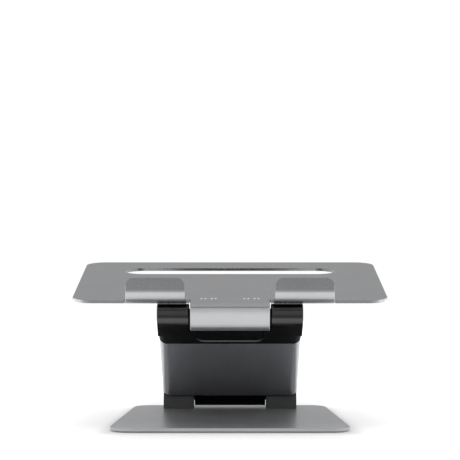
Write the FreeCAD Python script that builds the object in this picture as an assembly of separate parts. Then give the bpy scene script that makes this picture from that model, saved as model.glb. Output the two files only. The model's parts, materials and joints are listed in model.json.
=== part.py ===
import FreeCAD, Part
import math
import os

# Laptop riser: a folded tray on a hollow arm, hinged at both ends, over a flat base plate.
# Millimetres, +Z up, +X to the right and -Y towards the person who uses it.
# The origin is on the desk, under the middle of the whole object at rest.
# Each body is drawn lying flat with its hinge axis at the origin, and then set at its rest pose.

# Rest pose
arm_rest_deg = 29.8
tray_tilt_deg = 6.55

# Fits
shaft_fit = 0.02
running_fit = 0.05
loose_fit = 0.3

# Base plate, measured from the base hinge axis
base_front_width = 208.0
base_rear_width = 175.0
base_front_reach = 157.3
base_rear_reach = 14.0
base_thickness = 3.0
base_corner_radius = 15.0
sheet_edge_radius = 0.4

# Feet
foot_radius = 8.0
foot_thickness = 1.0
foot_edge_radius = 0.3
foot_inset = 15.0

# Base hinge
base_axis_height = 12.4
base_barrel_radius = 10.9
base_barrel_length = 65.0
base_hinge_gap = 0.6
block_width = 27.9
block_front_reach = 15.3
block_nose_radius = 15.4
block_top_radius = 10.3
block_edge_radius = 0.4

# Arm
arm_length = 166.0
arm_width = 123.2
arm_thickness = 19.8
arm_corner_radius = 7.1
sleeve_wall = 1.8
web_thickness = 1.6
inner_web_offset = 22.0
outer_web_offset = 44.0
port_wall = 1.7
upper_seam = 36.1
lower_seam = 18.0
lower_flange = 1.8
spigot_depth = 11.0

# Fork at the arm's upper end
lug_overhang = 0.55
lug_length = 21.0
lug_outer_edge = 0.8
lug_inner_edge = 1.2
throat_gap = 0.6
scoop_width = 58.6
scoop_reach = 32.0
scoop_depth = 0.8
scoop_corner_radius = 8.0

# Screws of the arm caps
cap_screw_radius = 1.6
cap_screw_head_radius = 2.8
cap_screw_head_height = 2.2
cap_screw_grip = 12.0
upper_screw_seat = 26.0

# Screws of the hinge blocks
block_screw_radius = 2.0
block_screw_head_radius = 3.8
block_screw_grip = 6.5
block_screw_front = 10.3
block_screw_back = 7.2
block_screw_inset = 7.4
socket_radius = 1.45
socket_depth = 1.3

# Shafts and what clamps them
shaft_radius = 3.0
shaft_stub = 1.2
bush_radius = 4.5
bush_length = 16.0
friction_washer_radius = 5.8
thrust_washer_radius = 6.6
thrust_washer_thickness = 1.0
spring_radius = 6.2
spring_thickness = 0.7
spring_rise = 0.4
spring_count = 4
nut_across_flats = 10.0
nut_height = 5.0
pocket_radius = 7.2
cover_radius = 8.0
cover_thickness = 1.6
cover_edge_radius = 0.3
cover_lip_depth = 2.0
cover_lip_wall = 0.9
cover_gap = 0.6

# Tray, measured from the tray hinge axis
tray_width = 270.0
tray_depth = 204.0
tray_thickness = 3.0
tray_corner_radius = 17.5
tray_height = 11.0
tray_front_reach = 4.4
slot_length = 194.0
slot_width = 35.0
slot_inset = 135.9

# Hooks
hook_width = 50.3
hook_spacing = 126.3
hook_height = 21.85
hook_bend_radius = 14.5
hook_corner_radius = 7.0
hook_root_inset = 0.6
hook_flare = 1.2
hook_flare_height = 8.0
hook_flare_radius = 60.0
notch_width = 0.8
notch_depth = 2.0

# Tongue, and the barrel inside it
tongue_width = 67.5
tongue_slit = 1.0
tongue_bend_radius = 4.5
tongue_bow_radius = 44.0
tongue_roll_start_deg = 23.6
tongue_roll_end_deg = 59.5
tongue_edge_radius = 0.6
tray_barrel_radius = 10.4
saddle_depth = 10.0

# Rivets
rivet_radius = 0.8
rivet_head_radius = 1.1
rivet_head_height = 0.6
rivet_grip = 8.0
rivet_setback = 2.0
rivet_group_offset = 18.3
rivet_pair_spacing = 8.8
rivet_spacing = 3.4

# Soft pads
pad_thickness = 1.0
pad_margin = 3.5
pad_length = 92.0
pad_start = 4.0
pad_corner_radius = 6.0
pad_edge_radius = 0.4
hook_pad_margin = 2.0
hook_pad_corner_radius = 3.0

# Allowances of the drawing: how far a cut runs past a face, and what counts as flat or smooth
overrun = 1.0
flat_limit = 0.001
smooth_limit = math.radians(10)

# Places that follow from the sizes above
base_top = -base_axis_height
base_under = base_top - base_thickness
base_axis_z = foot_thickness - base_under
base_barrel_half = base_barrel_length / 2
block_inner = base_barrel_half + base_hinge_gap
block_outer = block_inner + block_width
arm_half = arm_thickness / 2
cell_width = arm_width - 2 * sleeve_wall
cell_thickness = arm_thickness - 2 * sleeve_wall
cell_corner_radius = arm_corner_radius - sleeve_wall
sleeve_front = upper_seam - arm_length
sleeve_back = -lower_seam
port_hole_radius = cap_screw_radius + running_fit
port_radius = port_hole_radius + port_wall
inner_ports = (-inner_web_offset, inner_web_offset)
outer_ports = (-outer_web_offset, outer_web_offset)
tongue_half = tongue_width / 2
lug_inner = tongue_half + tongue_slit
lug_outer = arm_width / 2 + lug_overhang
tray_front = -tray_front_reach
tray_rear = tray_depth - tray_front_reach
tray_top = tray_height + tray_thickness
slot_start = slot_inset - tray_front_reach
slot_end = slot_start + slot_width
throat_radius = tray_top + throat_gap
throat_mouth = math.sqrt(throat_radius ** 2 - arm_half ** 2)
barrel_flat = tray_height - loose_fit
hook_middle = hook_spacing / 2
hook_left = hook_middle - hook_width / 2
hook_right = hook_middle + hook_width / 2
hook_foot_left = hook_left - hook_flare
hook_foot_right = hook_right + hook_flare
hook_root = tray_front + hook_root_inset
hook_front = hook_root - hook_bend_radius
hook_bend_top = tray_height + hook_bend_radius
hook_top = tray_top + hook_height
spring_height = spring_thickness + spring_rise
clamp_length = thrust_washer_thickness + spring_count * spring_height + nut_height + shaft_stub
pocket_depth = cover_thickness + cover_gap + clamp_length

# Hinge axes at rest, with the middle of the whole depth at Y = 0
arm_rise = math.radians(arm_rest_deg)
tray_rise = math.radians(tray_tilt_deg)
front_most = hook_front * math.cos(tray_rise) - hook_top * math.sin(tray_rise)
rear_most = tray_rear * math.cos(tray_rise) - tray_height * math.sin(tray_rise)
tray_axis_y = -(front_most + rear_most) / 2
tray_axis_z = base_axis_z + arm_length * math.sin(arm_rise)
base_axis_y = tray_axis_y + arm_length * math.cos(arm_rise)


def vec(x, y, z):
    return FreeCAD.Vector(x, y, z)


ORIGIN = vec(0, 0, 0)
ALONG_X = vec(1, 0, 0)
ALONG_Y = vec(0, 1, 0)


def on_xy(a, b):
    return vec(a, b, 0)


def on_xz(a, b):
    return vec(a, 0, b)


def line(start, end):
    return Part.LineSegment(start, end).toShape()


def arc(start, middle, end):
    return Part.Arc(start, middle, end).toShape()


def about_axis(radius, turn):
    """Point at a radius from the hinge axis, turned up from straight behind it."""
    return vec(0, radius * math.cos(turn), radius * math.sin(turn))


def rounded_face(corners, plane):
    """Flat face through corners (a, b, radius), each corner rounded by its own radius."""
    count = len(corners)
    arrivals = []
    departures = []
    edges = []
    for i, (a, b, radius) in enumerate(corners):
        here = on_xy(a, b)
        back = (on_xy(*corners[i - 1][:2]) - here).normalize()
        ahead = (on_xy(*corners[(i + 1) % count][:2]) - here).normalize()
        half_angle = back.getAngle(ahead) / 2
        reach = radius / math.tan(half_angle)
        inward = (back + ahead).normalize()
        points = [
            here + back * reach,
            here + inward * (radius / math.sin(half_angle) - radius),
            here + ahead * reach,
        ]
        start, middle, end = [plane(point.x, point.y) for point in points]
        arrivals.append(start)
        departures.append(end)
        if radius > 0:
            edges.append(arc(start, middle, end))
    for i in range(count):
        following = arrivals[(i + 1) % count]
        if departures[i].distanceToPoint(following) > flat_limit:
            edges.append(line(departures[i], following))
    return Part.Face(Part.Wire(Part.__sortEdges__(edges)))


def rectangle(a_range, b_range, radius, plane):
    """Rectangle with the same radius at all four corners."""
    corners = [(a_range[i], b_range[j], radius) for i, j in ((0, 0), (1, 0), (1, 1), (0, 1))]
    return rounded_face(corners, plane)


def slab(x_range, y_range, z_range, radius):
    """Flat-lying plate with rounded upright corners."""
    face = rectangle(x_range, y_range, radius, on_xy)
    face.translate(vec(0, 0, z_range[0]))
    return face.extrude(vec(0, 0, z_range[1] - z_range[0]))


def bar(width, thickness, radius, start, end):
    """Length of the arm's section along Y."""
    face = rectangle((-width / 2, width / 2), (-thickness / 2, thickness / 2), radius, on_xz)
    face.translate(vec(0, start, 0))
    return face.extrude(vec(0, end - start, 0))


def box(x_range, y_range, z_range):
    lengths = [high - low for low, high in (x_range, y_range, z_range)]
    return Part.makeBox(*lengths, vec(x_range[0], y_range[0], z_range[0]))


def strip(edges, start, end):
    """Closed outline, drawn in the plane across the hinge axis, drawn out along X from start to end."""
    face = Part.Face(Part.Wire(Part.__sortEdges__(edges)))
    face.translate(vec(start, 0, 0))
    return face.extrude(vec(end - start, 0, 0))


def rod_x(radius, start, end):
    """Cylinder on the hinge axis."""
    return Part.makeCylinder(radius, end - start, vec(start, 0, 0), ALONG_X)


def rod_y(radius, x, start, end):
    """Cylinder along the arm."""
    return Part.makeCylinder(radius, end - start, vec(x, start, 0), ALONG_Y)


def ring(inner_radius, outer_radius, start, end):
    return rod_x(outer_radius, start, end).cut(rod_x(inner_radius, start, end))


def hexagon(radius, height):
    """Upright hexagonal prism on the origin."""
    turns = [i * math.pi / 3 for i in range(7)]
    points = [vec(radius * math.cos(turn), radius * math.sin(turn), 0) for turn in turns]
    return Part.Face(Part.makePolygon(points)).extrude(vec(0, 0, height))


def shifted(shape, x=0, y=0, z=0):
    moved = shape.copy()
    moved.translate(vec(x, y, z))
    return moved


def mirrored(shape):
    return shape.mirror(ORIGIN, ALONG_X)


def both(shapes):
    """The right-hand shapes together with their left-hand twins."""
    return shapes + [mirrored(shape) for shape in shapes]


def lies_at(edge, axis, value):
    """True where the whole edge lies at that value of X, Y or Z."""
    low = getattr(edge.BoundBox, axis + "Min")
    high = getattr(edge.BoundBox, axis + "Max")
    return abs(low - value) < flat_limit and abs(high - value) < flat_limit


def is_sharp(shape, edge):
    """True where the two faces that meet at the edge turn a corner."""
    middle = edge.valueAt((edge.FirstParameter + edge.LastParameter) / 2)
    faces = shape.ancestorsOfType(edge, Part.Face)
    normals = [face.normalAt(*face.Surface.parameter(middle)) for face in faces]
    return len(normals) == 2 and normals[0].getAngle(normals[1]) > smooth_limit


def softened(shape, radius, chosen):
    """Shape with a small radius on those of its sharp edges that are chosen."""
    edges = [edge for edge in shape.Edges if chosen(edge) and is_sharp(shape, edge)]
    return shape.makeFillet(radius, edges)


def at_rest(shape, body):
    """Set a piece of a flat-lying body at its rest pose."""
    placed = shape.copy()
    if body == "base":
        placed.translate(vec(0, base_axis_y, base_axis_z))
    if body == "arm":
        placed.rotate(ORIGIN, ALONG_X, -arm_rest_deg)
        placed.translate(vec(0, base_axis_y, base_axis_z))
    if body == "arm_end":
        placed.rotate(ORIGIN, ALONG_X, -arm_rest_deg)
        placed.translate(vec(0, tray_axis_y, tray_axis_z))
    if body == "tray":
        placed.rotate(ORIGIN, ALONG_X, tray_tilt_deg)
        placed.translate(vec(0, tray_axis_y, tray_axis_z))
    return placed


def save(name, body, shapes):
    """Write one node: a single solid, or a group of like solids."""
    solids = [solid for shape in shapes for solid in at_rest(shape, body).Solids]
    node = solids[0] if len(solids) == 1 else Part.makeCompound(solids)
    node.exportStep("parts/" + name + ".step")


def save_pair(name, body, shapes):
    """Write a right-hand node and its left-hand twin."""
    save(name + "_right", body, shapes)
    save(name + "_left", body, [mirrored(shape) for shape in shapes])


# Hinge parts, right-hand end, with the axis along X. Inner and outer are the two ends of a knuckle.

def shaft_end(outer):
    return outer - cover_thickness - cover_gap


def shaft(outer):
    return rod_x(shaft_radius, -shaft_end(outer), shaft_end(outer))


def shaft_room(inner, outer):
    """Room in a knuckle for the shaft, its springs and nut, and the cover."""
    bore = rod_x(shaft_radius + shaft_fit, inner - overrun, outer)
    pocket = rod_x(pocket_radius, outer - pocket_depth, outer)
    seat = rod_x(cover_radius + running_fit, outer - cover_thickness, outer + overrun)
    return bore.fuse([pocket, seat]).removeSplitter()


def bush(barrel_half):
    return ring(shaft_radius + running_fit, bush_radius, barrel_half - bush_length, barrel_half)


def bush_room(barrel_half):
    """Bore of a barrel for its two bushes, with the shaft free between them."""
    return rod_x(bush_radius + shaft_fit, -barrel_half - overrun, barrel_half + overrun)


def friction_washer(barrel_half, inner):
    """Washer that fills the gap between the barrel and the knuckle."""
    return ring(shaft_radius + loose_fit, friction_washer_radius, barrel_half, inner)


def thrust_washer(outer):
    start = outer - pocket_depth
    return ring(shaft_radius + loose_fit, thrust_washer_radius, start, start + thrust_washer_thickness)


def disc_springs(outer):
    """Conical discs stacked in turn, each touching the next at its rim or at its bore."""
    bore_radius = shaft_radius + loose_fit
    start = outer - pocket_depth + thrust_washer_thickness
    discs = []
    for i in range(spring_count):
        low = start + i * spring_height
        at_bore = low + spring_rise * (i % 2)
        at_rim = low + spring_rise * (1 - i % 2)
        profile = Part.makePolygon([
            vec(at_bore, bore_radius, 0),
            vec(at_rim, spring_radius, 0),
            vec(at_rim + spring_thickness, spring_radius, 0),
            vec(at_bore + spring_thickness, bore_radius, 0),
            vec(at_bore, bore_radius, 0),
        ])
        discs.append(Part.Face(profile).revolve(ORIGIN, ALONG_X, 360))
    return discs


def lock_nut(outer):
    start = shaft_end(outer) - shaft_stub - nut_height
    nut = hexagon(nut_across_flats / math.sqrt(3), nut_height)
    nut.rotate(ORIGIN, ALONG_Y, 90)
    return shifted(nut, x=start).cut(rod_x(shaft_radius + shaft_fit, start, start + nut_height))


def end_cover(outer):
    """Round cover, flush with the knuckle's end, with a lip down into the pocket."""
    seat = outer - cover_thickness
    lip_radius = pocket_radius - loose_fit
    disc = rod_x(cover_radius, seat, outer)
    disc = softened(disc, cover_edge_radius, lambda edge: lies_at(edge, "X", outer))
    lip = ring(lip_radius - cover_lip_wall, lip_radius, seat - cover_lip_depth, seat)
    return disc.fuse(lip).removeSplitter()


def save_hinge(name, fixed, turning, barrel_half, inner, outer):
    """All the small parts of one hinge: those on the knuckles' body and those in the barrel."""
    save(name + "_shaft", fixed, [shaft(outer)])
    save_pair(name + "_friction_washer", fixed, [friction_washer(barrel_half, inner)])
    save_pair(name + "_thrust_washer", fixed, [thrust_washer(outer)])
    save_pair(name + "_springs", fixed, disc_springs(outer))
    save_pair(name + "_nut", fixed, [lock_nut(outer)])
    save_pair(name + "_cover", fixed, [end_cover(outer)])
    save_pair(name + "_bush", turning, [bush(barrel_half)])


# Base body, with the base hinge axis at the origin

def block_screw_places():
    """X and Y of the screws under the right-hand block."""
    columns = (block_inner + block_screw_inset, block_outer - block_screw_inset)
    return [(x, y) for x in columns for y in (-block_screw_front, block_screw_back)]


def block_screw(clearance):
    """Countersunk screw pointing up from the origin, or with a clearance the hole for it."""
    radius = block_screw_radius + clearance
    head_radius = block_screw_head_radius + clearance
    cone = Part.makeCone(head_radius, radius, head_radius - radius)
    shank = Part.makeCylinder(radius, base_thickness + block_screw_grip + clearance)
    return cone.fuse(shank).removeSplitter()


def block_screws(screw):
    return both([shifted(screw, x, y, base_under) for x, y in block_screw_places()])


def base_plate():
    """Flat plate, wider at the front, with countersunk holes from below."""
    front = base_front_width / 2
    rear = base_rear_width / 2
    corners = [
        (-front, -base_front_reach, base_corner_radius),
        (front, -base_front_reach, base_corner_radius),
        (rear, base_rear_reach, base_corner_radius),
        (-rear, base_rear_reach, base_corner_radius),
    ]
    plate = shifted(rounded_face(corners, on_xy).extrude(vec(0, 0, base_thickness)), z=base_under)
    plate = softened(plate, sheet_edge_radius, lambda edge: edge.BoundBox.ZLength < flat_limit)
    return plate.cut(block_screws(block_screw(running_fit)))


def foot(x, y):
    """Soft round foot under the base plate."""
    disc = Part.makeCylinder(foot_radius, foot_thickness)
    disc = softened(disc, foot_edge_radius, lambda edge: lies_at(edge, "Z", 0))
    return shifted(disc, x, y, base_under - foot_thickness)


def hinge_block():
    """Right-hand block: upright in front, round over the axis, flat on the base plate."""
    nose_low = math.pi + math.acos(block_front_reach / block_nose_radius)
    nose_high = math.pi - math.asin(block_top_radius / block_nose_radius)
    front_foot = vec(0, -block_front_reach, base_top)
    front_top = about_axis(block_nose_radius, nose_low)
    nose_middle = about_axis(block_nose_radius, (nose_low + nose_high) / 2)
    nose_end = about_axis(block_nose_radius, nose_high)
    crown = about_axis(block_top_radius, math.pi / 2)
    shoulder = about_axis(block_top_radius, math.pi / 4)
    back_top = about_axis(block_top_radius, 0)
    back_foot = vec(0, block_top_radius, base_top)
    outline = [
        line(front_foot, front_top),
        arc(front_top, nose_middle, nose_end),
        line(nose_end, crown),
        arc(crown, shoulder, back_top),
        line(back_top, back_foot),
        line(back_foot, front_foot),
    ]
    block = strip(outline, block_inner, block_outer)
    block = softened(block, block_edge_radius, lambda edge: not lies_at(edge, "Z", base_top))
    return block.cut(block_screws(block_screw(running_fit)) + [shaft_room(block_inner, block_outer)])


# Arm body, lying flat towards -Y with the base hinge axis at the origin

def webs(clearance, start, end):
    """The sleeve's upright webs with a round screw port in the middle of each."""
    half_web = web_thickness / 2 + clearance
    solids = []
    for x in inner_ports + outer_ports:
        solids.append(box((x - half_web, x + half_web), (start, end), (-arm_half, arm_half)))
        solids.append(rod_y(port_radius + clearance, x, start, end))
    return solids


def arm_sleeve():
    """Hollow extruded bar: five cells, four webs, a screw port on each web."""
    cells = bar(cell_width, cell_thickness, cell_corner_radius, sleeve_front, sleeve_back)
    cells = cells.cut(webs(0, sleeve_front, sleeve_back))
    sleeve = bar(arm_width, arm_thickness, arm_corner_radius, sleeve_front, sleeve_back)
    port_holes = [rod_y(port_hole_radius, x, sleeve_front, sleeve_back) for x in inner_ports + outer_ports]
    return sleeve.cut([cells] + port_holes)


def spigot(start, end):
    """Plugs of a cap that fill the ends of the sleeve's cells."""
    width = cell_width - 2 * loose_fit
    thickness = cell_thickness - 2 * loose_fit
    plug = bar(width, thickness, cell_corner_radius - loose_fit, start, end)
    return plug.cut(webs(loose_fit, start, end))


def lower_screw(x, clearance):
    """Countersunk screw through the lower flange into a port, or with a clearance the hole for it."""
    face = sleeve_back + lower_flange
    radius = cap_screw_radius + clearance
    head_radius = cap_screw_head_radius + clearance
    cone = Part.makeCone(head_radius, radius, head_radius - radius, vec(x, face, 0), -ALONG_Y)
    return cone.fuse(rod_y(radius, x, sleeve_back - cap_screw_grip, face)).removeSplitter()


def arm_lower_cap():
    """Flange on the sleeve's end, and one wide barrel, flat on top so that the tray folds down over it."""
    flange = bar(arm_width, arm_thickness, arm_corner_radius, sleeve_back, sleeve_back + lower_flange)
    barrel_x = (-base_barrel_half, base_barrel_half)
    around = (-base_barrel_radius, base_barrel_radius)
    below_flat = box(barrel_x, around, (-base_barrel_radius, barrel_flat))
    barrel = rod_x(base_barrel_radius, *barrel_x).common(below_flat)
    neck = box(barrel_x, (sleeve_back, 0), (-arm_half, arm_half))
    plugs = spigot(sleeve_back - spigot_depth, sleeve_back)
    cap = flange.fuse([barrel, neck, plugs]).removeSplitter()
    screw_holes = [lower_screw(x, running_fit) for x in outer_ports]
    return cap.cut([bush_room(base_barrel_half)] + screw_holes)


def lug():
    """Right-hand knuckle of the fork: round over the axis and straight back onto the cap."""
    top = vec(0, 0, arm_half)
    front = vec(0, -arm_half, 0)
    bottom = vec(0, 0, -arm_half)
    back_bottom = vec(0, lug_length, -arm_half)
    back_top = vec(0, lug_length, arm_half)
    outline = [
        arc(top, front, bottom),
        line(bottom, back_bottom),
        line(back_bottom, back_top),
        line(back_top, top),
    ]
    knuckle = strip(outline, lug_inner, lug_outer)
    knuckle = softened(knuckle, lug_outer_edge, lambda edge: lies_at(edge, "X", lug_outer))

    def is_inner(edge):
        return lies_at(edge, "X", lug_inner) and not lies_at(edge, "Y", lug_length)

    return softened(knuckle, lug_inner_edge, is_inner)


def scoop():
    """Shallow recess below the throat, with a sloping rim."""
    half = scoop_width / 2
    floor_half = half - scoop_depth
    floor_y = (scoop_depth, scoop_reach - scoop_depth)
    mouth = rectangle((-half, half), (0, scoop_reach), scoop_corner_radius, on_xy)
    floor = rectangle((-floor_half, floor_half), floor_y, scoop_corner_radius - scoop_depth, on_xy)
    mouth.translate(vec(0, 0, -arm_half))
    floor.translate(vec(0, 0, scoop_depth - arm_half))
    return Part.makeLoft([mouth.OuterWire, floor.OuterWire], True, True)


def upper_screw(x):
    """Round-headed screw from the fork's throat into a port."""
    head = rod_y(cap_screw_head_radius, x, upper_screw_seat - cap_screw_head_height, upper_screw_seat)
    shank = rod_y(cap_screw_radius, x, upper_screw_seat, upper_seam + cap_screw_grip)
    return head.fuse(shank).removeSplitter()


def arm_upper_cap():
    """Fork: two knuckles, a round throat that the tongue turns in, and a shallow scoop below it."""
    body = bar(arm_width, arm_thickness, arm_corner_radius, throat_mouth, upper_seam)
    plugs = spigot(upper_seam, upper_seam + spigot_depth)
    cap = body.fuse(both([lug()]) + [plugs]).removeSplitter()
    throat = rod_x(throat_radius, -lug_inner, lug_inner)
    head_room = [rod_y(cap_screw_head_radius + loose_fit, x, 0, upper_screw_seat) for x in inner_ports]
    shank_room = [rod_y(port_hole_radius, x, 0, upper_seam) for x in inner_ports]
    shaft_rooms = both([shaft_room(lug_inner, lug_outer)])
    return cap.cut([throat, scoop()] + head_room + shank_room + shaft_rooms)


# Tray body, lying flat with the tray hinge axis at the origin

def tray_sheet():
    """Flat of the tray, with its long slot and with room for the hooks and the tongue to fold."""
    half = tray_width / 2
    sheet = slab((-half, half), (tray_front, tray_rear), (tray_height, tray_top), tray_corner_radius)
    through = (tray_height - overrun, tray_top + overrun)
    slot_x = (-slot_length / 2, slot_length / 2)
    sheet = sheet.cut(slab(slot_x, (slot_start, slot_end), through, slot_width / 2))
    sheet = softened(sheet, sheet_edge_radius, lambda edge: edge.BoundBox.ZLength < flat_limit)
    past_front = tray_front - overrun
    notch_y = (past_front, hook_root + notch_depth)
    hook_cuts = [
        box((hook_foot_left, hook_foot_right), (past_front, hook_root), through),
        box((hook_foot_left - notch_width, hook_foot_left), notch_y, through),
        box((hook_foot_right, hook_foot_right + notch_width), notch_y, through),
    ]
    tongue_cut = box((-lug_inner, lug_inner), (past_front, 0), through)
    return sheet.cut([tongue_cut] + both(hook_cuts))


def hook():
    """Right-hand hook: the sheet bent up round a large radius, flared at its foot and rounded on top."""
    inner_radius = hook_bend_radius - tray_thickness

    def on_bend(radius):
        offset = radius * math.sqrt(0.5)
        return vec(0, hook_root - offset, hook_bend_top - offset)

    root_under = vec(0, hook_root, tray_height)
    root_over = vec(0, hook_root, tray_top)
    outer_side = vec(0, hook_front, hook_bend_top)
    outer_top = vec(0, hook_front, hook_top)
    inner_top = vec(0, hook_front + tray_thickness, hook_top)
    inner_side = vec(0, hook_front + tray_thickness, hook_bend_top)
    outline = [
        arc(root_under, on_bend(hook_bend_radius), outer_side),
        line(outer_side, outer_top),
        line(outer_top, inner_top),
        line(inner_top, inner_side),
        arc(inner_side, on_bend(inner_radius), root_over),
        line(root_over, root_under),
    ]
    foot_low = tray_height - overrun
    foot_high = foot_low + hook_flare_height
    corners = [
        (hook_foot_left, foot_low, 0),
        (hook_foot_right, foot_low, 0),
        (hook_right, foot_high, hook_flare_radius),
        (hook_right, hook_top, hook_corner_radius),
        (hook_left, hook_top, hook_corner_radius),
        (hook_left, foot_high, hook_flare_radius),
    ]
    front_view = rounded_face(corners, on_xz)
    front_view.translate(vec(0, hook_front - overrun, 0))
    blank = strip(outline, hook_foot_left, hook_foot_right)
    blank = blank.common(front_view.extrude(vec(0, hook_bend_radius + 2 * overrun, 0)))
    return softened(blank, sheet_edge_radius, lambda edge: not lies_at(edge, "Y", hook_root))


def tongue():
    """The sheet bent down in front of the hinge, gently bowed, and rolled in under the barrel."""
    roll_start = math.pi + math.radians(tongue_roll_start_deg)
    roll_end = math.pi + math.radians(tongue_roll_end_deg)
    bow_centre = about_axis(tray_top - tongue_bow_radius, roll_start)
    bow_to_bend = tongue_bow_radius - tongue_bend_radius
    bow_start = math.pi + math.asin((bow_centre.z - tray_top + tongue_bend_radius) / bow_to_bend)
    bend_centre = bow_centre + about_axis(bow_to_bend, bow_start)

    def skin(depth):
        """Edges of one side of the sheet, at a depth below its outer side, with their two ends."""
        root = vec(0, 0, tray_top - depth)
        bend = [math.pi / 2, (math.pi / 2 + bow_start) / 2, bow_start]
        bow = [bow_start, (bow_start + roll_start) / 2, roll_start]
        roll = [roll_start, (roll_start + roll_end) / 2, roll_end]
        on_bend = [bend_centre + about_axis(tongue_bend_radius - depth, turn) for turn in bend]
        on_bow = [bow_centre + about_axis(tongue_bow_radius - depth, turn) for turn in bow]
        on_roll = [about_axis(tray_top - depth, turn) for turn in roll]
        edges = [line(root, on_bend[0]), arc(*on_bend), arc(*on_bow), arc(*on_roll)]
        return edges, root, on_roll[-1]

    outside, outer_root, outer_end = skin(0)
    inside, inner_root, inner_end = skin(tray_thickness)
    ends = [line(outer_root, inner_root), line(outer_end, inner_end)]
    sheet = strip(outside + inside + ends, -tongue_half, tongue_half)

    def is_side(edge):
        at_side = lies_at(edge, "X", tongue_half) or lies_at(edge, "X", -tongue_half)
        return at_side and not lies_at(edge, "Y", 0)

    return softened(sheet, tongue_edge_radius, is_side)


def rivet_offsets():
    """X of the rivets: two groups, each of two pairs."""
    pairs = (-rivet_pair_spacing / 2, rivet_pair_spacing / 2)
    singles = (-rivet_spacing / 2, rivet_spacing / 2)
    groups = (-rivet_group_offset, rivet_group_offset)
    return [group + pair + single for group in groups for pair in pairs for single in singles]


def rivet():
    """Domed head on the tray's top, with a shank down into the barrel."""
    dome_radius = (rivet_head_radius ** 2 + rivet_head_height ** 2) / (2 * rivet_head_height)
    dome = Part.makeSphere(dome_radius, vec(0, 0, rivet_head_height - dome_radius))
    head = dome.common(Part.makeCylinder(dome_radius, rivet_head_height))
    shank = Part.makeCylinder(rivet_radius, rivet_grip, vec(0, 0, -rivet_grip))
    return head.fuse(shank).removeSplitter()


def rivets(solid):
    return [shifted(solid, x, rivet_setback, tray_top) for x in rivet_offsets()]


rivet_hole = Part.makeCylinder(rivet_radius + shaft_fit, rivet_grip + overrun, vec(0, 0, -rivet_grip))


def tray_plate():
    """One folded sheet: the flat, two hooks and the tongue."""
    folded = tray_sheet().fuse(both([hook()]) + [tongue()]).removeSplitter()
    return folded.cut(rivets(rivet_hole))


def tray_hinge_barrel():
    """Barrel on the tray hinge axis, with a flat saddle under the tray."""
    barrel = rod_x(tray_barrel_radius, -tongue_half, tongue_half)
    saddle = box((-tongue_half, tongue_half), (0, saddle_depth), (0, tray_height))
    barrel = barrel.fuse(saddle).removeSplitter()
    return barrel.cut([bush_room(tongue_half)] + rivets(rivet_hole))


def tray_pad():
    """Right-hand soft pad on the tray behind the hook."""
    x_range = (hook_left + pad_margin, hook_right - pad_margin)
    pad_top = tray_top + pad_thickness
    pad = slab(x_range, (pad_start, pad_start + pad_length), (tray_top, pad_top), pad_corner_radius)
    return softened(pad, pad_edge_radius, lambda edge: lies_at(edge, "Z", pad_top))


def hook_pad():
    """Right-hand soft pad on the inside of the hook's upright."""
    x_range = (hook_left + pad_margin, hook_right - pad_margin)
    z_range = (hook_bend_top, hook_top - hook_pad_margin)
    face = rectangle(x_range, z_range, hook_pad_corner_radius, on_xz)
    pad = face.extrude(vec(0, pad_thickness, 0))
    pad = softened(pad, pad_edge_radius, lambda edge: lies_at(edge, "Y", pad_thickness))
    return shifted(pad, y=hook_front + tray_thickness)


os.makedirs("parts", exist_ok=True)

# Base body
save("base_plate", "base", [base_plate()])
save_pair("base_foot_front", "base", [foot(base_front_width / 2 - foot_inset, foot_inset - base_front_reach)])
save_pair("base_foot_rear", "base", [foot(base_rear_width / 2 - foot_inset, base_rear_reach - foot_inset)])
save_pair("base_hinge_block", "base", [hinge_block()])
save("base_block_screws", "base", block_screws(block_screw(0).cut(hexagon(socket_radius, socket_depth))))
save_hinge("base_hinge", "base", "arm", base_barrel_half, block_inner, block_outer)

# Arm body
save("arm_sleeve", "arm", [arm_sleeve()])
save("arm_lower_cap", "arm", [arm_lower_cap()])
save("arm_lower_screws", "arm", [lower_screw(x, 0) for x in outer_ports])
save("arm_upper_cap", "arm_end", [arm_upper_cap()])
save("arm_upper_screws", "arm_end", [upper_screw(x) for x in inner_ports])

# Tray body
save("tray_plate", "tray", [tray_plate()])
save("tray_hinge_barrel", "tray", [tray_hinge_barrel()])
save("tray_rivets", "tray", rivets(rivet()))
save_pair("tray_pad", "tray", [tray_pad()])
save_pair("hook_pad", "tray", [hook_pad()])
save_hinge("tray_hinge", "arm_end", "tray", tongue_half, lug_inner, lug_outer)
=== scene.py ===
import json
import math

import bpy
import numpy as np
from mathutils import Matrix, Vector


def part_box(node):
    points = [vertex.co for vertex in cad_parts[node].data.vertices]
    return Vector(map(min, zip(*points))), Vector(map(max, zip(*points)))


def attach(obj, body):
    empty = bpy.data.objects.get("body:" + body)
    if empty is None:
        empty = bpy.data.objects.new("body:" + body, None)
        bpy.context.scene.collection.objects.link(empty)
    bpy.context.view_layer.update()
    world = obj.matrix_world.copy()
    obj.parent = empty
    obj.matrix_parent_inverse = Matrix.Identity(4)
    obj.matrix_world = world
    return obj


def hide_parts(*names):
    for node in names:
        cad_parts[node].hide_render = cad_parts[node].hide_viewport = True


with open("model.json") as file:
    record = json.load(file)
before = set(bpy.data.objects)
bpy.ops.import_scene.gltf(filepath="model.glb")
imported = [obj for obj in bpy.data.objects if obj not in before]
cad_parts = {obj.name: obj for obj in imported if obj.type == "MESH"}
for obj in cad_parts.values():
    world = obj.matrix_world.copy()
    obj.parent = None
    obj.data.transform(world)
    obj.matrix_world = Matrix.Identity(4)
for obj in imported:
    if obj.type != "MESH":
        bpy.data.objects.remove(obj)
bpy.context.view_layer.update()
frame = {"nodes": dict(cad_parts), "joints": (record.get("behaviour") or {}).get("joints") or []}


# Base plate
# A laser-cut aluminium sheet, wider in front, that carries both hinge blocks.
# Bead-blasted to a fine even grain and anodised grey, with a hair-thin radius on its edges.

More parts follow.
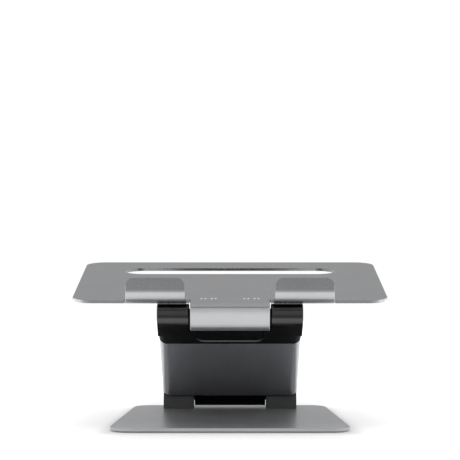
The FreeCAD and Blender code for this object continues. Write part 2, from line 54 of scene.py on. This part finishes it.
nodes = frame["nodes"]
even = (1.0, 1.0, 1.0)
noise_low = 0.3
noise_high = 0.7
cloud_octaves = 3.0


def wire(tree, source, target):
    """Join an output socket to an input socket of the same node tree."""
    tree.links.new(source, target)


def grain(tree, per_metre, octaves, stretch):
    """Noise fixed to the piece: per_metre grains in a metre, drawn out along axes with a stretch below 1."""
    place = tree.nodes.new("ShaderNodeTexCoord")
    mapping = tree.nodes.new("ShaderNodeMapping")
    mapping.inputs["Scale"].default_value = stretch
    noise = tree.nodes.new("ShaderNodeTexNoise")
    noise.inputs["Scale"].default_value = per_metre
    noise.inputs["Detail"].default_value = octaves
    wire(tree, place.outputs["Object"], mapping.inputs["Vector"])
    wire(tree, mapping.outputs["Vector"], noise.inputs["Vector"])
    return noise.outputs["Fac"]


def spread(tree, noise, low, high):
    """Carry noise from noise_low..noise_high, where nearly all of it lies, to low..high."""
    ramp = tree.nodes.new("ShaderNodeMapRange")
    ramp.inputs["From Min"].default_value = noise_low
    ramp.inputs["From Max"].default_value = noise_high
    ramp.inputs["To Min"].default_value = low
    ramp.inputs["To Max"].default_value = high
    wire(tree, noise, ramp.inputs["Value"])
    return ramp.outputs["Result"]


def tones(tree, noise, dark, light):
    """Colour from dark to light, as the noise goes from noise_low to noise_high."""
    ramp = tree.nodes.new("ShaderNodeValToRGB")
    first, last = ramp.color_ramp.elements
    first.position = noise_low
    last.position = noise_high
    first.color = (*dark, 1.0)
    last.color = (*light, 1.0)
    wire(tree, noise, ramp.inputs["Fac"])
    return ramp.outputs["Color"]


def relief(tree, shader, height, strength, depth):
    """Small bumps: depth is their height in metres."""
    bump = tree.nodes.new("ShaderNodeBump")
    bump.inputs["Strength"].default_value = strength
    bump.inputs["Distance"].default_value = depth
    wire(tree, height, bump.inputs["Height"])
    wire(tree, bump.outputs["Normal"], shader.inputs["Normal"])


def shader_of(material):
    """The shader that a new material starts with."""
    return material.node_tree.nodes["Principled BSDF"]


def new_finish(name):
    """An empty material with its node tree and shader."""
    material = bpy.data.materials.new(name)
    material.use_nodes = True
    return material, material.node_tree, shader_of(material)


def grained(name, colour, mottle, clouds, roughness, play, grains, octaves, bump, depth, metal=0.0,
            cloud_stretch=even, grain_stretch=even):
    """A finish with faint clouds in its colour, and fine grain in its roughness and relief.

    Clouds and grains are counted per metre. The colour is multiplied by the two shares of mottle where the
    clouds are darkest and lightest, and the roughness strays by play either way.
    """
    material, tree, shader = new_finish(name)
    shader.inputs["Metallic"].default_value = metal
    cloud = grain(tree, clouds, cloud_octaves, cloud_stretch)
    fine = grain(tree, grains, octaves, grain_stretch)
    dark, light = (tuple(channel * share for channel in colour) for share in mottle)
    wire(tree, tones(tree, cloud, dark, light), shader.inputs["Base Color"])
    wire(tree, spread(tree, fine, roughness - play, roughness + play), shader.inputs["Roughness"])
    relief(tree, shader, fine, bump, depth)
    return material


def blasted_aluminium(name, grey, roughness, metal, stretch=even):
    """Anodised aluminium: even grain about 0.4 mm wide over a faint cloudiness."""
    return grained(name, grey, mottle=(0.97, 1.03), clouds=45.0, roughness=roughness, play=0.03,
                   grains=2600.0, octaves=2.0, bump=0.10, depth=0.00004, metal=metal,
                   cloud_stretch=stretch, grain_stretch=stretch)


def dress(names, material):
    """Give CAD nodes a finish."""
    for name in names:
        mesh = nodes[name].data
        mesh.materials.clear()
        mesh.materials.append(material)


base_metal = blasted_aluminium("base_aluminium", grey=(0.545, 0.552, 0.568), roughness=0.34, metal=0.62)
dress(["base_plate"], base_metal)


# Feet
# Four soft silicone discs glued under the base plate's corners.
# Moulded with rings on the underside that grip the desk.

scene = bpy.context.scene
foot_radius = 0.008
foot_thickness = 0.001
foot_edge = 0.0003
foot_hub = 0.0005
ring_pitch = 0.0016
ring_height = 0.00018
ring_points = 60
turn_steps = 96


def foot_outline():
    """Radius and height from the hub outwards: cosine rings, a rounded edge, then the straight side."""
    radius = np.linspace(foot_hub, foot_radius - foot_edge, ring_points)
    height = ring_height * (0.5 - 0.5 * np.cos(2.0 * np.pi * radius / ring_pitch))
    edge_and_side = np.array([[foot_radius - foot_edge / 3, foot_edge / 3], [foot_radius, foot_edge],
                              [foot_radius, foot_thickness]])
    return np.concatenate([np.stack([radius, height], axis=1), edge_and_side])


def turned(outline, centre):
    """Surface of revolution about Z: every (radius, height) of the outline goes round the centre."""
    turn = np.linspace(0.0, 2.0 * np.pi, turn_steps, endpoint=False)
    radius = outline[:, 0][:, None]
    height = outline[:, 1][:, None]
    return np.stack([centre[0] + radius * np.cos(turn), centre[1] + radius * np.sin(turn),
                     centre[2] + height + 0.0 * turn], axis=-1)


def grid_piece(name, grid, material):
    """Smooth mesh from points [row, column]: columns close on themselves, first and last rows are capped."""
    rows, columns = grid.shape[:2]
    index = np.arange(rows * columns).reshape(rows, columns)
    beside = np.roll(index, -1, axis=1)
    quads = np.stack([index[:-1], beside[:-1], beside[1:], index[1:]], axis=-1).reshape(-1, 4)
    faces = quads.tolist() + [index[0][::-1].tolist(), index[-1].tolist()]
    mesh = bpy.data.meshes.new(name)
    mesh.from_pydata(grid.reshape(-1, 3).tolist(), [], faces)
    mesh.polygons.foreach_set("use_smooth", np.full(len(faces), True))
    mesh.update()
    mesh.materials.append(material)
    piece = bpy.data.objects.new(name, mesh)
    scene.collection.objects.link(piece)
    return piece


def soft_silicone(name, grey):
    """Matt silicone: dull, slightly dusty, with a fine moulded tooth."""
    return grained(name, (grey,) * 3, mottle=(0.85, 1.2), clouds=60.0, roughness=0.70, play=0.08,
                   grains=3200.0, octaves=2.0, bump=0.25, depth=0.00005)


silicone = soft_silicone("grey_silicone", grey=0.045)
for place in ("front_left", "front_right", "rear_left", "rear_right"):
    low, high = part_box("base_foot_" + place)
    middle = ((low.x + high.x) / 2, (low.y + high.y) / 2, low.z)
    foot = grid_piece("foot_" + place, turned(foot_outline(), middle), silicone)
    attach(foot, "base")
    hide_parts("base_foot_" + place)


# Hinge blocks
# Two black mouldings that stand on the base plate and carry the lower shaft, each with a round cover.
# Glass-filled nylon from a spark-eroded mould, so the skin is satin and faintly pebbled.

def pair(name):
    """The left and right nodes of one name."""
    return [name + "_left", name + "_right"]


def black_moulding(name, grey, roughness, pebble):
    """Moulded nylon or acetal: near-black, satin, with a pebble of about half a millimetre."""
    return grained(name, (grey,) * 3, mottle=(0.85, 1.15), clouds=55.0, roughness=roughness, play=0.04,
                   grains=1900.0, octaves=3.0, bump=pebble, depth=0.00004)


block_nylon = black_moulding("block_nylon", grey=0.072, roughness=0.42, pebble=0.20)
dress(pair("base_hinge_block") + pair("base_hinge_cover"), block_nylon)


# Block screws
# Countersunk socket screws driven up through the base plate into the blocks.
# Zinc-plated steel.

def plated_steel(name, grey, roughness):
    """Zinc-plated steel: bright, with fine streaks drawn out along the shafts."""
    return grained(name, (grey,) * 3, mottle=(0.9, 1.1), clouds=300.0, roughness=roughness, play=0.06,
                   grains=4000.0, octaves=1.0, bump=0.10, depth=0.00002, metal=1.0,
                   grain_stretch=(0.15, 1.0, 1.0))


steel = plated_steel("zinc_steel", grey=0.52, roughness=0.28)
dress(["base_block_screws"], steel)


# Lower and upper hinge hardware
# One ground steel shaft in each hinge, clamped by disc springs between a thrust washer and a lock nut.
# Sintered bronze bushes line the barrels, and dark acetal washers fill the gaps beside them.

def sintered_bronze(name, dark, light):
    """Bare bronze: grains about half a millimetre wide, from dark to light, the light ones rougher."""
    material, tree, shader = new_finish(name)
    shader.inputs["Metallic"].default_value = 1.0
    spots = grain(tree, per_metre=2200.0, octaves=2.0, stretch=even)
    wire(tree, tones(tree, spots, dark, light), shader.inputs["Base Color"])
    wire(tree, spread(tree, spots, low=0.35, high=0.5), shader.inputs["Roughness"])
    return material


bronze = sintered_bronze("sintered_bronze", dark=(0.40, 0.27, 0.13), light=(0.62, 0.43, 0.22))
acetal = black_moulding("acetal_washer", grey=0.010, roughness=0.40, pebble=0.10)
for hinge in ("base_hinge", "tray_hinge"):
    dress([hinge + "_shaft"], steel)
    dress(pair(hinge + "_thrust_washer") + pair(hinge + "_springs") + pair(hinge + "_nut"), steel)
    dress(pair(hinge + "_bush"), bronze)
    dress(pair(hinge + "_friction_washer"), acetal)


# Arm
# A hollow extruded aluminium sleeve, blasted and anodised like the plates, its grain drawn out along it.
# Two black lacquered caps are plugged into its cells and screwed on; the upper one has two round covers.

def gloss_black(name, shine, slant, roughness):
    """Black lacquer with a faint orange peel.

    It mirrors the share shine head on, and the tint slant holds back its rise towards a grazing view.
    """
    lacquer = grained(name, (shine,) * 3, mottle=(0.95, 1.05), clouds=55.0, roughness=roughness, play=0.03,
                      grains=900.0, octaves=2.0, bump=0.05, depth=0.00004, metal=1.0)
    shader_of(lacquer).inputs["Specular Tint"].default_value = (slant, slant, slant, 1.0)
    return lacquer


sleeve_metal = blasted_aluminium("sleeve_aluminium", grey=(0.54, 0.547, 0.563), roughness=0.32, metal=0.97,
                                 stretch=(1.0, 0.35, 0.35))
dress(["arm_sleeve"], sleeve_metal)
cap_black = gloss_black("cap_black", shine=0.080, slant=0.34, roughness=0.20)
dress(["arm_upper_cap", "arm_lower_cap"] + pair("tray_hinge_cover"), cap_black)
dress(["arm_upper_screws", "arm_lower_screws"], steel)


# Tray
# One aluminium sheet, cut with a long slot, two hooks folded up in front and a tongue rolled over the hinge.
# Blasted and anodised, rougher round the slot's ends; small rivets hold the black hinge barrel under it.

hinges = {joint["name"]: np.array(joint["pos_m"]) for joint in frame["joints"]}
tray_tilt = math.radians(6.55)
sideways = (1.0, 0.0, 0.0)
sheet_back = (0.0, math.cos(tray_tilt), math.sin(tray_tilt))
slot_back = 0.149
slot_line = float(np.dot(sheet_back, hinges["tray_hinge"])) + slot_back
slot_end = 0.0795
slot_radius = 0.0175
slot_hair = 0.0002
slot_turn = 0.007


def maths(tree, operation, first, second=0.0):
    """Arithmetic on one or two operands, each a socket or a number."""
    node = tree.nodes.new("ShaderNodeMath")
    node.operation = operation
    for place, operand in zip(node.inputs, (first, second)):
        if isinstance(operand, float):
            place.default_value = operand
        else:
            wire(tree, operand, place)
    return node.outputs["Value"]


def along(tree, direction):
    """How far a point of the piece lies in a direction of the rest pose."""
    place = tree.nodes.new("ShaderNodeTexCoord")
    reach = tree.nodes.new("ShaderNodeVectorMath")
    reach.operation = "DOT_PRODUCT"
    reach.inputs[1].default_value = direction
    wire(tree, place.outputs["Object"], reach.inputs[0])
    return reach.outputs["Value"]


def roughen_slot_ends(material, roughness):
    """Rougher walls round the slot's ends: on the end's circle, and past its middle by slot_turn."""
    tree = material.node_tree
    shader = shader_of(material)
    blasted = shader.inputs["Roughness"].links[0].from_socket
    aside = maths(tree, "SUBTRACT", maths(tree, "ABSOLUTE", along(tree, sideways)), slot_end)
    back = maths(tree, "SUBTRACT", along(tree, sheet_back), slot_line)
    squares = maths(tree, "ADD", maths(tree, "MULTIPLY", aside, aside), maths(tree, "MULTIPLY", back, back))
    in_circle = maths(tree, "LESS_THAN", squares, (slot_radius + slot_hair) ** 2)
    round_end = maths(tree, "MULTIPLY", in_circle, maths(tree, "GREATER_THAN", aside, slot_turn))
    cut = maths(tree, "MULTIPLY", round_end, roughness)
    wire(tree, maths(tree, "MAXIMUM", blasted, cut), shader.inputs["Roughness"])


tray_metal = blasted_aluminium("tray_aluminium", grey=(0.543, 0.550, 0.565), roughness=0.26, metal=0.96)
roughen_slot_ends(tray_metal, roughness=0.75)
dress(["tray_plate"], tray_metal)
rivet_metal = blasted_aluminium("rivet_aluminium", grey=(0.90, 0.90, 0.905), roughness=0.30, metal=0.5)
dress(["tray_rivets"], rivet_metal)
barrel_nylon = black_moulding("barrel_nylon", grey=0.010, roughness=0.45, pebble=0.20)
dress(["tray_hinge_barrel"], barrel_nylon)


# Soft pads
# Silicone pads glued on the tray behind the hooks and inside each hook, so that a laptop doesn't slip.
# Moulded with low ribs across them and a rounded rim.

pad_width = 0.0433
pad_thickness = 0.001
pad_rim = 0.0005
rib_height = 0.0003
rib_rows = 12
edge_rows = 60
pad_columns = 41
pad_aside = 0.06315
flat_pad_back = 0.050
tray_top = 0.0140
hook_face = -0.0153
hook_pad_up = 0.029675


def sine_spaced(count):
    """Values from -1 to 1 that lie closer together towards both ends."""
    return np.sin(np.linspace(-0.5 * np.pi, 0.5 * np.pi, count))


def pad_grid(length, corner, rib_pitch):
    """Rounded slab on the origin: each row runs across the top at one y and back along the bottom.

    Half-width: pad_width / 2, less the fall of a circle of the corner's radius where y lies in a corner.
    Inset: how far a point lies inside the outline, a rectangle with its corners rounded by that radius.
    Height: a quarter-round over the rim, then the thickness less a cosine groove across the length.
    """
    rows = edge_rows + int(rib_rows * length / rib_pitch)
    y = 0.5 * length * sine_spaced(rows)[:, None]
    past_y = np.abs(y) - (length / 2 - corner)
    half_width = pad_width / 2 - corner + np.sqrt(corner ** 2 - np.clip(past_y, 0.0, corner) ** 2)
    x = half_width * sine_spaced(pad_columns)[None, :]
    past_x = np.abs(x) - (pad_width / 2 - corner)
    in_corner = np.hypot(np.maximum(past_x, 0.0), np.maximum(past_y, 0.0))
    inset = np.clip(corner - in_corner - np.minimum(np.maximum(past_x, past_y), 0.0), 0.0, None)
    crown = np.sqrt(pad_rim ** 2 - (pad_rim - np.minimum(inset, pad_rim)) ** 2)
    on_top = np.clip((inset - 2 * pad_rim) / (2 * pad_rim), 0.0, 1.0)
    groove = rib_height * (0.5 - 0.5 * np.cos(2.0 * np.pi * y / rib_pitch)) * on_top
    over = np.stack([x, y + 0.0 * x, pad_thickness - pad_rim + crown - groove], axis=-1)
    under_x = half_width * np.array([[1.0, -1.0]])
    under = np.stack([under_x, y + 0.0 * under_x, 0.0 * under_x], axis=-1)
    return np.concatenate([over, under], axis=1)


def upright(grid):
    """Stand a flat-lying grid up, so that its top looks back over the tray."""
    return np.stack([grid[..., 0], grid[..., 2], -grid[..., 1]], axis=-1)


def on_tray(grid):
    """Turn a grid from the flat-lying tray, with the hinge at the origin, to its rest pose."""
    x, y, z = grid[..., 0], grid[..., 1], grid[..., 2]
    turned_y = y * math.cos(tray_tilt) - z * math.sin(tray_tilt)
    turned_z = y * math.sin(tray_tilt) + z * math.cos(tray_tilt)
    return np.stack([x, turned_y, turned_z], axis=-1) + hinges["tray_hinge"]


flat_pad = pad_grid(length=0.092, corner=0.006, rib_pitch=0.0046)
hook_pad = upright(pad_grid(length=0.00835, corner=0.003, rib_pitch=0.0024))
for side, sign in (("left", -1.0), ("right", 1.0)):
    flat_place = (sign * pad_aside, flat_pad_back, tray_top)
    hook_place = (sign * pad_aside, hook_face, hook_pad_up)
    for node, grid in (("tray_pad_", flat_pad + flat_place), ("hook_pad_", hook_pad + hook_place)):
        piece = grid_piece(node + side + "_soft", on_tray(grid), silicone)
        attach(piece, "tray")
        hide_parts(node + side)


# Floor
# A sheet of white paper under the riser that keeps its soft shadow, with a painted contact shadow round the
# base plate as well.
# White in the camera's view, and grey further in front as painted shade, where the bent metal mirrors it.

floor_front = -0.42
floor_side = 1.2
floor_rear = 1.2
white_front = -0.262
plate_rear_half_width = 0.0875


def eased(tree, value, start, end, low, high):
    """Smooth step from low, at start and before it, to high, at end and after it."""
    ramp = tree.nodes.new("ShaderNodeMapRange")
    ramp.interpolation_type = "SMOOTHSTEP"
    ramp.inputs["From Min"].default_value = start
    ramp.inputs["From Max"].default_value = end
    ramp.inputs["To Min"].default_value = low
    ramp.inputs["To Max"].default_value = high
    wire(tree, value, ramp.inputs["Value"])
    return ramp.outputs["Result"]


def looked_at_rays(tree):
    """1 for rays from the camera or sent on by a mirror or glass, 0 for light that falls on things."""
    path = tree.nodes.new("ShaderNodeLightPath")
    mirrored = maths(tree, "MAXIMUM", path.outputs["Is Glossy Ray"], path.outputs["Is Transmission Ray"])
    return maths(tree, "MAXIMUM", path.outputs["Is Camera Ray"], mirrored)


def white_paper(name):
    """Paper that is lifted towards white where it is looked at or mirrored, least under the base plate,
    where it paints a contact shadow.

    Distance: how far a point lies outside the base plate, whose half-width falls evenly from front to rear.
    Lift: little under the plate, more from 17 mm away, beside it, far behind and far aside, which paints the
    contact shadow round the plate; none where the paper is grey as painted shade, in front of white_front.
    """
    low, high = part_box("base_plate")
    narrowing = (high.x - plate_rear_half_width) / (high.y - low.y)
    material, tree, shader = new_finish(name)
    shader.inputs["Roughness"].default_value = 0.9
    shader.inputs["Specular IOR Level"].default_value = 0.0
    shader.inputs["Emission Color"].default_value = (1.0, 1.0, 1.0, 1.0)
    place = tree.nodes.new("ShaderNodeTexCoord")
    split = tree.nodes.new("ShaderNodeSeparateXYZ")
    wire(tree, place.outputs["Object"], split.inputs["Vector"])
    x, y = split.outputs["X"], split.outputs["Y"]
    half_width = maths(tree, "SUBTRACT", high.x + narrowing * low.y, maths(tree, "MULTIPLY", y, narrowing))
    beside = maths(tree, "SUBTRACT", maths(tree, "ABSOLUTE", x), half_width)
    from_middle = maths(tree, "ABSOLUTE", maths(tree, "SUBTRACT", y, (low.y + high.y) / 2))
    before = maths(tree, "SUBTRACT", from_middle, (high.y - low.y) / 2)
    distance = maths(tree, "MAXIMUM", beside, before)
    # Painted contact shadow: the lift is least under the base plate and rises with distance from it.
    painted_contact_shadow = eased(tree, distance, start=-0.002, end=0.017, low=0.06, high=0.27)
    close_aside = eased(tree, beside, start=-0.016, end=0.014, low=0.0, high=0.145)
    far_behind = eased(tree, y, start=0.10, end=0.40, low=0.0, high=0.6)
    far_aside = eased(tree, beside, start=0.02, end=0.30, low=0.0, high=0.35)
    near = maths(tree, "ADD", painted_contact_shadow, close_aside)
    far = maths(tree, "ADD", far_behind, far_aside)
    # Painted shade in front of white_front: the lift fades out and the paper is coloured grey, so that the
    # bent metal mirrors a dark floor there.
    in_white = eased(tree, y, start=-0.30, end=white_front, low=0.0, high=1.0)
    lift = maths(tree, "MULTIPLY", maths(tree, "ADD", near, far), in_white)
    grey = eased(tree, y, start=-0.32, end=white_front, low=0.40, high=0.82)
    wire(tree, grey, shader.inputs["Base Color"])
    wire(tree, maths(tree, "MULTIPLY", looked_at_rays(tree), lift), shader.inputs["Emission Strength"])
    return material


floor_corners = [(-floor_side, floor_front, 0.0), (floor_side, floor_front, 0.0),
                 (floor_side, floor_rear, 0.0), (-floor_side, floor_rear, 0.0)]
floor_mesh = bpy.data.meshes.new("floor")
floor_mesh.from_pydata(floor_corners, [], [(0, 1, 2, 3)])
floor_mesh.materials.append(white_paper("floor_paper"))
floor = bpy.data.objects.new("floor", floor_mesh)
scene.collection.objects.link(floor)


# Room and lamp
# An even pale room, brighter at both sides and high in front, dimmer behind and low in front.
# The camera and the mirrors see a white backdrop behind the riser; a soft lamp hangs overhead.

scene.view_settings.view_transform = "Standard"
world = bpy.data.worlds.new("studio")
world.use_nodes = True
scene.world = world
room = world.node_tree
towards = room.nodes.new("ShaderNodeTexCoord")
background = room.nodes["Background"]
background.inputs["Color"].default_value = (1.0, 1.0, 1.0, 1.0)


def facing(direction, start, end, low, high):
    """Smooth step on the cosine between where a ray goes and a direction of the room."""
    cosine = room.nodes.new("ShaderNodeVectorMath")
    cosine.operation = "DOT_PRODUCT"
    cosine.inputs[1].default_value = direction
    wire(room, towards.outputs["Generated"], cosine.inputs[0])
    return eased(room, cosine.outputs["Value"], start, end, low, high)


walls = facing((0.0, 0.96, 0.28), start=0.72, end=0.98, low=0.52, high=0.41)
low_front = facing((0.0, -0.94, -0.34), start=0.80, end=0.98, low=0.0, high=-0.19)
high_front = facing((0.0, -0.87, 0.50), start=0.90, end=0.99, low=0.0, high=0.08)
left_side = facing((-1.0, 0.0, 0.0), start=0.70, end=0.95, low=0.0, high=0.15)
right_side = facing((1.0, 0.0, 0.0), start=0.70, end=0.95, low=0.0, high=0.15)
backdrop = facing((0.0, 0.9945, -0.1045), start=0.966, end=0.975, low=0.0, high=1.0)
walls_and_front = maths(room, "ADD", maths(room, "ADD", walls, high_front), low_front)
room_light = maths(room, "ADD", walls_and_front, maths(room, "ADD", left_side, right_side))
white = maths(room, "MULTIPLY", looked_at_rays(room), backdrop)
wire(room, maths(room, "MAXIMUM", room_light, white), background.inputs["Strength"])

lamp_data = bpy.data.lights.new("softbox", "AREA")
lamp_data.shape = "RECTANGLE"
lamp_data.size = 1.6
lamp_data.size_y = 1.4
lamp_data.energy = 16.0
lamp = bpy.data.objects.new("softbox", lamp_data)
lamp.location = (0.0, 0.0, 1.5)
lamp.visible_glossy = False
scene.collection.objects.link(lamp)


# Camera
# In front of the riser and a little above the tray, pitched slightly down.
# A long lens, given by its focal length in pixels of the picture, so the perspective is shallow.

picture_pixels = 460.0
focal_pixels = 2000.0
sensor_mm = 36.0
camera_distance = 1.703
camera_height = 0.2185
camera_pitch_degrees = 1.575

camera_data = bpy.data.cameras.new("camera")
camera_data.sensor_width = sensor_mm
camera_data.lens = focal_pixels / picture_pixels * sensor_mm
camera = bpy.data.objects.new("camera", camera_data)
camera.location = (0.0, hinges["tray_hinge"][1] - camera_distance, camera_height)
camera.rotation_euler = (math.radians(90.0 - camera_pitch_degrees), 0.0, 0.0)
scene.collection.objects.link(camera)
scene.camera = camera
